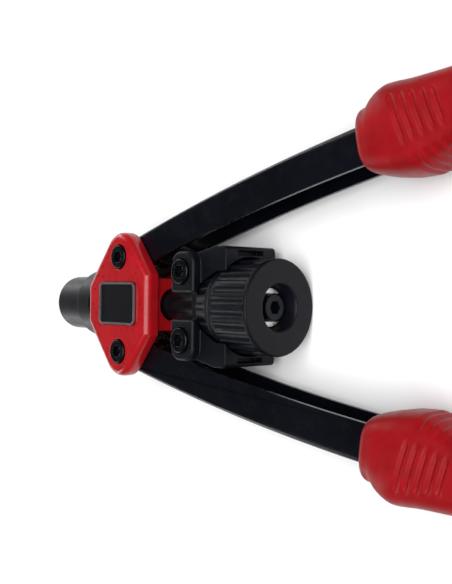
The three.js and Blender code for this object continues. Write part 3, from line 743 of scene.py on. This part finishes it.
def channel(name, front_x, rear_x, steps=64):
    """The U section, drawn where the arm points straight down the page and spun back along the arc."""
    inside = CHEEK - SHEET
    bend = 2.6
    outline = [(ARC_INNER, -CHEEK), (ARC_OUTER - bend, -CHEEK)]
    outline += [
        (ARC_OUTER - bend + bend * math.sin(a), -CHEEK + bend - bend * math.cos(a))
        for a in (math.radians(18 * i) for i in range(1, 5))
    ]
    outline.append((ARC_OUTER, -CHEEK + bend))
    outline += [(radius, -z) for radius, z in reversed(outline)]
    outline += [(ARC_INNER, inside), (ARC_OUTER - SHEET, inside), (ARC_OUTER - SHEET, -inside), (ARC_INNER, -inside)]
    centre = at(ARC[0], ARC[1])
    first = arc_turn(front_x)
    points = [
        centre + Vector((-math.sin(first), math.cos(first), 0)) * (radius * MM) + Vector((0, 0, z * MM))
        for radius, z in outline
    ]
    bpy.ops.object.select_all(action="DESELECT")
    bpy.ops.mesh.primitive_plane_add(size=MM)
    bpy.ops.object.mode_set(mode="EDIT")
    bpy.ops.mesh.select_mode(type="VERT")
    bpy.ops.mesh.select_all(action="SELECT")
    bpy.ops.mesh.merge(type="CENTER")
    bpy.ops.transform.translate(value=points[0])
    for before, after in zip(points, points[1:] + points[:1]):
        bpy.ops.mesh.extrude_vertices_move(TRANSFORM_OT_translate={"value": after - before})
    bpy.ops.mesh.select_all(action="SELECT")
    bpy.ops.mesh.remove_doubles(threshold=1e-6)
    bpy.ops.mesh.select_all(action="SELECT")
    bpy.ops.mesh.edge_face_add()
    bpy.ops.mesh.select_mode(type="FACE")
    bpy.ops.mesh.select_all(action="SELECT")
    bpy.ops.mesh.spin(steps=steps, angle=first - arc_turn(rear_x), center=centre, axis=(0, 0, 1))
    bpy.ops.mesh.select_all(action="SELECT")
    bpy.ops.mesh.normals_make_consistent(inside=False)
    bpy.ops.object.mode_set(mode="OBJECT")
    return named(name)


def arm(name):
    body = channel(name, 0, 256)
    inside = CHEEK - SHEET
    lobes = [bar("lobe", (0, PIVOT_Y, z), (0, PIVOT_Y, z + SHEET), 10.6, 96) for z in (-CHEEK, inside)]
    combine(body, lobes, "UNION")
    opening = block("opening", (-20, 0, -inside), (20.5, 60, inside))
    holes = [
        bar("hole", (0, PIVOT_Y, -20), (0, PIVOT_Y, 20), 5.6, 64),
        bar("hole", (*CRANK, -20), (*CRANK, 20), 2.8, 40),
    ]
    combine(body, [opening, *holes])
    clean(body)
    return body


# %% [markdown]
# ## Grips
# The grips are thick soft-gloss mouldings: a bulbous front that stops the hand, a waist, five slanted
# finger grooves on each cheek and cross ribs on the inner side behind the bulge. Nothing here is flat or
# round, so extruding would fight the shape. Instead a fine grid is wrapped round a rounded-square section
# whose depth and width change along the length, and the grooves are pressed in by formula.

# %% Grip
GRIP_FRONT, GRIP_LENGTH = 160.0, 118.0
GRIP_STATIONS = [
    (0, 13.5, 11.2, 13.6),
    (2, 16.4, 12.6, 15.6),
    (6, 16.8, 14.4, 16.6),
    (9, 19.8, 15.4, 17.0),
    (13, 22.0, 16.6, 17.1),
    (17, 22.6, 17.6, 17.2),
    (28, 20.8, 18.8, 16.8),
    (36, 20.0, 17.0, 16.2),
    (44, 19.3, 14.4, 15.7),
    (54, 18.6, 13.0, 15.2),
    (72, 17.0, 13.0, 15.0),
    (92, 16.6, 13.4, 15.0),
    (106, 18.0, 15.4, 15.6),
    (114, 16.4, 14.2, 14.0),
    (118, 11.5, 9.8, 9.5),
]


def hermite(stations, along, column):
    """A smooth curve through one column of the stations."""
    last = len(stations) - 1
    i = max(k for k in range(last) if stations[k][0] <= along or k == 0)
    x = [row[0] for row in stations]
    y = [row[column] for row in stations]

    def slope(k):
        low, high = max(k - 1, 0), min(k + 1, last)
        return (y[high] - y[low]) / (x[high] - x[low])

    step = x[i + 1] - x[i]
    t = min(1.0, (along - x[i]) / step)
    return (
        (2 * t**3 - 3 * t**2 + 1) * y[i]
        + (t**3 - 2 * t**2 + t) * step * slope(i)
        + (3 * t**2 - 2 * t**3) * y[i + 1]
        + (t**3 - t**2) * step * slope(i + 1)
    )


def bump(value, half):
    """A smooth hump that is 1 at 0 and 0 beyond the half width."""
    return 0.5 + 0.5 * math.cos(math.pi * min(1.0, abs(value) / half))


def fade(value, low, high):
    t = max(0.0, min(1.0, (value - low) / (high - low)))
    return t * t * (3 - 2 * t)


def groove_depth(along, height, across, half):
    """How far the surface sinks at a place: slanted grooves on the cheeks, cross ribs inside the bend."""
    depth = 0.0
    on_cheek = fade(abs(across) / half, 0.72, 0.9)
    if on_cheek:
        for i in range(5):
            centre = 22.7 + 4.7 * i
            top, bottom = 13.2 - 0.9 * i, -6.6 + 0.6 * i
            slant = along - centre + 0.22 * (height - 4)
            reach = fade(height, bottom - 3, bottom + 2) * (1 - fade(height, top - 2, top + 2))
            depth += 1.1 * bump(slant, 1.7) * reach * on_cheek
    inner = fade(-height, 7, 10) * (1 - fade(abs(across) / half, 0.8, 0.92))
    if inner:
        stretch = fade(along, 25, 27) * (1 - fade(along, 92, 96))
        depth += 1.0 * inner * stretch * (0.5 - 0.5 * math.cos(2 * math.pi * (along - 26) / 4.4))
    return depth


def grip(name):
    around, length = 160, 236
    bpy.ops.object.select_all(action="DESELECT")
    bpy.ops.mesh.primitive_grid_add(x_subdivisions=length, y_subdivisions=around, size=1)
    body = named(name)
    middle = (ARC_OUTER + ARC_INNER) / 2
    first = arc_turn(GRIP_FRONT)
    squareness = 3.0
    for vertex in body.data.vertices:
        along = (vertex.co.x + 0.5) * GRIP_LENGTH
        turn = 2 * math.pi * (vertex.co.y + 0.5)
        c, s = math.cos(turn), math.sin(turn)
        outward, inward, half = (hermite(GRIP_STATIONS, along, column) for column in (1, 2, 3))
        size = (abs(c) ** squareness + abs(s) ** squareness) ** (-1 / squareness)
        height, across = (outward if s > 0 else inward) * s * size, half * c * size
        sink = groove_depth(along, height, across, half)
        flank = fade(abs(across) / half, 0.5, 0.9)
        across -= math.copysign(sink * flank, across)
        height += sink * (1 - flank) if height < 0 else -sink * (1 - flank)
        angle = first - along / middle
        radius = middle + height
        spot = at(ARC[0] - radius * math.sin(angle), ARC[1] + radius * math.cos(angle), across)
        vertex.co = spot
    edit(
        body,
        lambda: bpy.ops.mesh.remove_doubles(threshold=2e-6),
        lambda: bpy.ops.mesh.select_all(action="DESELECT"),
        lambda: bpy.ops.mesh.select_non_manifold(),
        lambda: bpy.ops.mesh.edge_face_add(),
        lambda: bpy.ops.mesh.select_all(action="SELECT"),
        lambda: bpy.ops.mesh.normals_make_consistent(inside=False),
    )
    return body


def grip_slot():
    """The channel's own section at the same size, spun from 14 mm ahead of the grip's front to 60 mm into the grip.
    """
    room = channel("slot", GRIP_FRONT - 14, GRIP_FRONT + 60, 24)
    return room


# %% Both arms
def mirrored(piece, sign):
    if sign < 0:
        piece.data.transform(Matrix.Scale(-1, 4, (0, 1, 0)))
        edit(piece, lambda: bpy.ops.mesh.flip_normals(), mode="FACE")
    pivot = Matrix.Translation(at(0, sign * PIVOT_Y))
    piece.data.transform(pivot @ Matrix.Rotation(LEAN[sign], 4, "Z") @ pivot.inverted())
    return piece


for side, sign in (("upper", 1), ("lower", -1)):
    steel = soften(mirrored(arm(side + "_pressed_arm"), sign), 0.35, 3, 32)
    fit(steel, side + "_arm", side + "_arm", "arm_paint")
    moulding = shade(mirrored(grip(side + "_moulded_grip"), sign), 50)
    fit(moulding, side + "_arm", side + "_grip", "grip_plastic")
    pin = bar(side + "_riveted_pin", (*CRANK, -11.4), (*CRANK, 11.4), 2.5, 40)
    fit(soften(mirrored(pin, sign), 0.4, 3), side + "_arm", side + "_crank_pin", "fastener_steel")


# %% [markdown]
# ## Links
# Each toggle link is a flat bar with round ends, blanked from plate and drilled. A hull round two discs is
# exactly that outline.

# %% Links
LINK_LENGTH = math.hypot(LINK_X - CRANK[0], LINK_Y - CRANK[1])
LINK_AIM = {"upper": 161.91, "lower": -162.19}

for side, sign in (("upper", 1), ("lower", -1)):
    aim = math.radians(LINK_AIM[side])
    near = (LINK_X, sign * LINK_Y)
    far = (near[0] + LINK_LENGTH * math.cos(aim), near[1] + LINK_LENGTH * math.sin(aim))
    discs = [bar("eye", (*spot, -3.9), (*spot, 3.9), 5.4, 72) for spot in (near, far)]
    link = hull(side + "_blanked_link", discs)
    combine(link, [bar("hole", (*near, -9), (*near, 9), 3.3, 48), bar("hole", (*far, -9), (*far, 9), 3.4, 48)])
    clean(link)
    fit(soften(link, 0.35, 3), side + "_link", side + "_link", "fastener_steel")

# %% [markdown]
# ## Finishes
# A finish is named for what it is. One function turns a hex colour to linear, one adds a node, and one
# gives a material its shader and its pattern space. Patterns read Object coordinates, which are metres in
# the shared frame, so a texture's scale is one over its real grain size.

# %% Material helpers
def linear(hex_colour):
    channels = (int(hex_colour[i : i + 2], 16) / 255 for i in (0, 2, 4))
    values = [c / 12.92 if c <= 0.04045 else ((c + 0.055) / 1.055) ** 2.4 for c in channels]
    return (*values, 1.0)


def add(tree, kind, inputs=None, **settings):
    """Adds a node, sets its settings, and gives each input a value or a link."""
    made = tree.nodes.new(kind)
    for name, value in settings.items():
        setattr(made, name, value)
    for key, value in (inputs or {}).items():
        if isinstance(value, bpy.types.NodeSocket):
            tree.links.new(value, made.inputs[key])
        else:
            made.inputs[key].default_value = value
    return made


def finish(name, **sockets):
    """A new material: its tree, its shader with constant sockets set, and its Object coordinates."""
    material = bpy.data.materials.new(name)
    material.use_nodes = True
    tree = material.node_tree
    shader = tree.nodes["Principled BSDF"]
    for socket, value in sockets.items():
        shader.inputs[socket.replace("_", " ")].default_value = value
    coords = add(tree, "ShaderNodeTexCoord").outputs["Object"]
    return material, tree, shader, coords


def grain(tree, coords, size, detail=3.0, roughness=0.55):
    """Noise whose lumps are about this many millimetres across."""
    inputs = {"Vector": coords, "Scale": 1 / (size * MM), "Detail": detail, "Roughness": roughness}
    return add(tree, "ShaderNodeTexNoise", inputs).outputs["Fac"]


def between(tree, factor, low, high):
    """Maps noise, which stays near the middle, to a range of values."""
    inputs = {"Value": factor, "From Min": 0.3, "From Max": 0.7, "To Min": low, "To Max": high}
    return add(tree, "ShaderNodeMapRange", inputs).outputs["Result"]


def blend(tree, factor, first, second):
    mix = add(tree, "ShaderNodeMix", {0: factor, 6: first, 7: second}, data_type="RGBA")
    return mix.outputs[2]


def dent(tree, height, depth):
    inputs = {"Height": height, "Distance": depth * MM}
    return add(tree, "ShaderNodeBump", inputs).outputs["Normal"]


def connect(tree, shader, colour=None, rough=None, normal=None):
    for socket, source in (("Base Color", colour), ("Roughness", rough), ("Normal", normal)):
        if source:
            tree.links.new(source, shader.inputs[socket])


# %% [markdown]
# ### Enamels and paints
# Stoved enamel flows before it sets, so it is glossy with a faint orange peel about 2 mm across, and it
# pools a little darker in places. The arms have a thinner, harder gloss black over smooth pressed steel.

# %% Stoved red enamel
def red_enamel():
    material, tree, shader, coords = finish(
        "stoved red enamel", IOR=1.5, Specular_IOR_Level=0.28, Coat_Weight=0.2, Coat_Roughness=0.06
    )
    tone = blend(tree, between(tree, grain(tree, coords, 14, 2), 0, 1), linear("A31119"), linear("900E15"))
    rough = between(tree, grain(tree, coords, 3, 4), 0.24, 0.36)
    peel = dent(tree, grain(tree, coords, 2.2, 1), 0.02)
    connect(tree, shader, tone, rough, peel)
    return material


def black_paint():
    material, tree, shader, coords = finish(
        "gloss black paint on pressed steel", IOR=1.5, Specular_IOR_Level=0.2
    )
    tone = blend(tree, between(tree, grain(tree, coords, 18, 3), 0, 1), linear("05060B"), linear("090B12"))
    rough = between(tree, grain(tree, coords, 6, 4), 0.2, 0.3)
    peel = dent(tree, grain(tree, coords, 1.6, 2), 0.02)
    connect(tree, shader, tone, rough, peel)
    return material


def black_coating():
    # Electrocoat over a sand-textured casting: satin, with the casting's half-millimetre grain under it.
    material, tree, shader, coords = finish("satin black electrocoat on casting", IOR=1.5, Specular_IOR_Level=0.15)
    tone = blend(tree, between(tree, grain(tree, coords, 7, 4), 0, 1), linear("05070C"), linear("0A0C13"))
    rough = between(tree, grain(tree, coords, 1.2, 4), 0.36, 0.56)
    cast = dent(tree, grain(tree, coords, 0.9, 4, 0.6), 0.05)
    connect(tree, shader, tone, rough, cast)
    return material


# %% [markdown]
# ### Plastics
# Glass-filled nylon leaves the mould matte: a spark-eroded texture, here drawn at 0.5 mm so that it shows.
# The grips are softer vinyl with a low gloss and a finer skin.

# %% Plastics
def nylon():
    material, tree, shader, coords = finish("glass-filled black nylon", IOR=1.53, Specular_IOR_Level=0.13)
    tone = blend(tree, between(tree, grain(tree, coords, 5, 4), 0, 1), linear("08090F"), linear("0E0F16"))
    rough = between(tree, grain(tree, coords, 2, 4), 0.36, 0.48)
    spark = dent(tree, grain(tree, coords, 0.5, 3, 0.6), 0.022)
    connect(tree, shader, tone, rough, spark)
    return material


def grip_vinyl():
    material, tree, shader, coords = finish("soft gloss red vinyl", IOR=1.48, Specular_IOR_Level=0.15)
    tone = blend(tree, between(tree, grain(tree, coords, 12, 3), 0, 1), linear("900C13"), linear("80090F"))
    rough = between(tree, grain(tree, coords, 2.5, 4), 0.34, 0.48)
    skin = dent(tree, grain(tree, coords, 0.7, 3), 0.018)
    connect(tree, shader, tone, rough, skin)
    return material


# %% [markdown]
# ### Bare and treated metals
# Black oxide is a conversion layer a few microns thick, so the machining under it still shows: turned
# pieces have rings about the tool's axis. Bright zinc is silvery with soft cloudy patches, and bearing
# bronze is warm. Metals keep the default index of refraction.

# %% Metals
def turned_steel():
    material, tree, shader, coords = finish("blackened turned steel", Metallic=0.75)
    rings = add(
        tree,
        "ShaderNodeTexWave",
        {"Vector": coords, "Scale": 1 / (2 * math.pi * 0.12 * MM) / 3, "Distortion": 0.6, "Detail": 2.0, "Detail Scale": 1.0},
        wave_type="BANDS",
        bands_direction="X",
    ).outputs["Fac"]
    tone = blend(tree, between(tree, grain(tree, coords, 6, 4), 0, 1), linear("0F1015"), linear("191B21"))
    rough = between(tree, grain(tree, coords, 1.5, 4), 0.3, 0.46)
    connect(tree, shader, tone, rough, dent(tree, rings, 0.006))
    return material


def black_oxide():
    material, tree, shader, coords = finish("black oxide fastener steel", Metallic=0.85)
    tone = blend(tree, between(tree, grain(tree, coords, 2, 4), 0, 1), linear("131418"), linear("24262B"))
    rough = between(tree, grain(tree, coords, 0.8, 4), 0.2, 0.34)
    connect(tree, shader, tone, rough, dent(tree, grain(tree, coords, 0.4, 3), 0.005))
    return material


def bright_zinc():
    material, tree, shader, coords = finish("bright zinc plate", Metallic=1.0)
    tone = blend(tree, between(tree, grain(tree, coords, 3, 3), 0, 1), linear("D9DBDD"), linear("C2C3BE"))
    rough = between(tree, grain(tree, coords, 0.7, 4), 0.22, 0.42)
    connect(tree, shader, tone, rough, dent(tree, grain(tree, coords, 0.35, 3), 0.006))
    return material


def bearing_bronze():
    material, tree, shader, coords = finish("bearing bronze", Metallic=1.0)
    tone = blend(tree, between(tree, grain(tree, coords, 2, 4), 0, 1), linear("6E5430"), linear("55401F"))
    rough = between(tree, grain(tree, coords, 0.6, 4), 0.3, 0.45)
    connect(tree, shader, tone, rough, dent(tree, grain(tree, coords, 0.3, 3), 0.006))
    return material


def badge_black():
    material, tree, shader, coords = finish("satin black lacquered plate", IOR=1.5, Specular_IOR_Level=0.18)
    tone = blend(tree, between(tree, grain(tree, coords, 4, 3), 0, 1), linear("07070B"), linear("0C0D12"))
    rough = between(tree, grain(tree, coords, 0.8, 3), 0.28, 0.4)
    connect(tree, shader, tone, rough, dent(tree, grain(tree, coords, 0.4, 2), 0.004))
    return material


def rim_aluminium():
    # Brushed along X: the noise is stretched twelve times that way.
    material, tree, shader, coords = finish("brushed aluminium rim", Metallic=1.0)
    stretch = add(tree, "ShaderNodeMapping", {"Vector": coords, "Scale": (1 / 12, 1, 1)}).outputs["Vector"]
    streaks = grain(tree, stretch, 0.25, 3)
    tone = blend(tree, between(tree, streaks, 0, 1), linear("8E9094"), linear("B4B6B9"))
    rough = between(tree, streaks, 0.26, 0.44)
    connect(tree, shader, tone, rough, dent(tree, streaks, 0.006))
    return material


# %% Give every piece its finish
FINISHES = {
    "head_enamel": red_enamel(),
    "arm_paint": black_paint(),
    "black_casting": black_coating(),
    "knob_plastic": nylon(),
    "grip_plastic": grip_vinyl(),
    "blackened_steel": turned_steel(),
    "fastener_steel": black_oxide(),
    "zinc_steel": bright_zinc(),
    "bronze": bearing_bronze(),
    "badge": badge_black(),
}


def dress(piece, material):
    piece.data.materials.clear()
    piece.data.materials.append(material)


for piece_name, slot_name in MADE.items():
    dress(bpy.data.objects[piece_name], FINISHES[slot_name])
for subpart in frame["record"]["subparts"]:
    dress(frame["nodes"][subpart["node"]], FINISHES[subpart["material_slot"]])

badge_piece.data.materials.append(rim_aluminium())
for face in badge_piece.data.polygons:
    middle_mm = (face.center - at(0)) / MM
    inside_field = abs(face.center.z - at(0, 0, BADGE_TOP - 0.5).z) < 0.1 * MM and face.normal.z > 0.7
    face.material_index = 0 if inside_field else 1

# %% [markdown]
# ## Floor, light and camera
# A plain pale floor, one large softbox overhead, a strip behind the head for the bright line along its
# edge and an even pale surround. The camera looks from behind the knob, above and to the right.

# %% Stage
def floor():
    bpy.ops.object.select_all(action="DESELECT")
    bpy.ops.mesh.primitive_plane_add(size=12, location=(0, 0, CAD_BOX[0].z - 0.0002))
    sheet = named("pale_floor")
    material, tree, shader, coords = finish("pale matt floor")
    tone = blend(tree, between(tree, grain(tree, coords, 60, 3), 0, 1), linear("F4F4F4"), linear("F0F0F1"))
    rough = between(tree, grain(tree, coords, 8, 3), 0.75, 0.85)
    connect(tree, shader, tone, rough)
    dress(sheet, material)


def softbox(name, place, target, size, watts):
    light = bpy.data.lights.new(name, "AREA")
    light.shape = "RECTANGLE"
    light.size, light.size_y = size
    light.energy = watts
    lamp = bpy.data.objects.new(name, light)
    bpy.context.scene.collection.objects.link(lamp)
    lamp.location = place
    lamp.rotation_mode = "QUATERNION"
    lamp.rotation_quaternion = (Vector(target) - Vector(place)).to_track_quat("-Z", "Y")


def surround(strength):
    world = bpy.data.worlds.new("pale surround")
    world.use_nodes = True
    background = world.node_tree.nodes["Background"]
    background.inputs["Color"].default_value = linear("FFFFFF")
    background.inputs["Strength"].default_value = strength
    bpy.context.scene.world = world


def camera():
    elevation, roll = math.radians(42.95), math.radians(0.65)
    back = Vector((math.cos(elevation), 0, math.sin(elevation)))
    right = Vector((math.sin(elevation), 0, -math.cos(elevation)))
    turn = Matrix.Rotation(roll, 3, back)
    data = bpy.data.cameras.new("camera")
    data.lens, data.sensor_width = 55.5, 36
    data.clip_start, data.clip_end = 0.01, 50
    eye = bpy.data.objects.new("camera", data)
    bpy.context.scene.collection.objects.link(eye)
    axes = Matrix((turn @ right, turn @ Vector((0, 1, 0)), back)).transposed()
    eye.matrix_world = Matrix.Translation(at(397, 7.2, 310)) @ axes.to_4x4()
    bpy.context.scene.camera = eye


floor()
surround(0.07)
softbox("overhead softbox", (1.1, 0, 1.7), (0.1, 0, 0), (2.0, 2.2), 74)
softbox("front strip", (-1.2, 0, 0.2), (0, 0, 0.03), (2.4, 0.35), 7)
for side in (1, -1):
    softbox("side strip", (-1.4, side * 1.1, 0.8), (0.05, 0, 0.03), (0.25, 1.2), 6)
camera()
bpy.context.scene.view_settings.view_transform = "Standard"
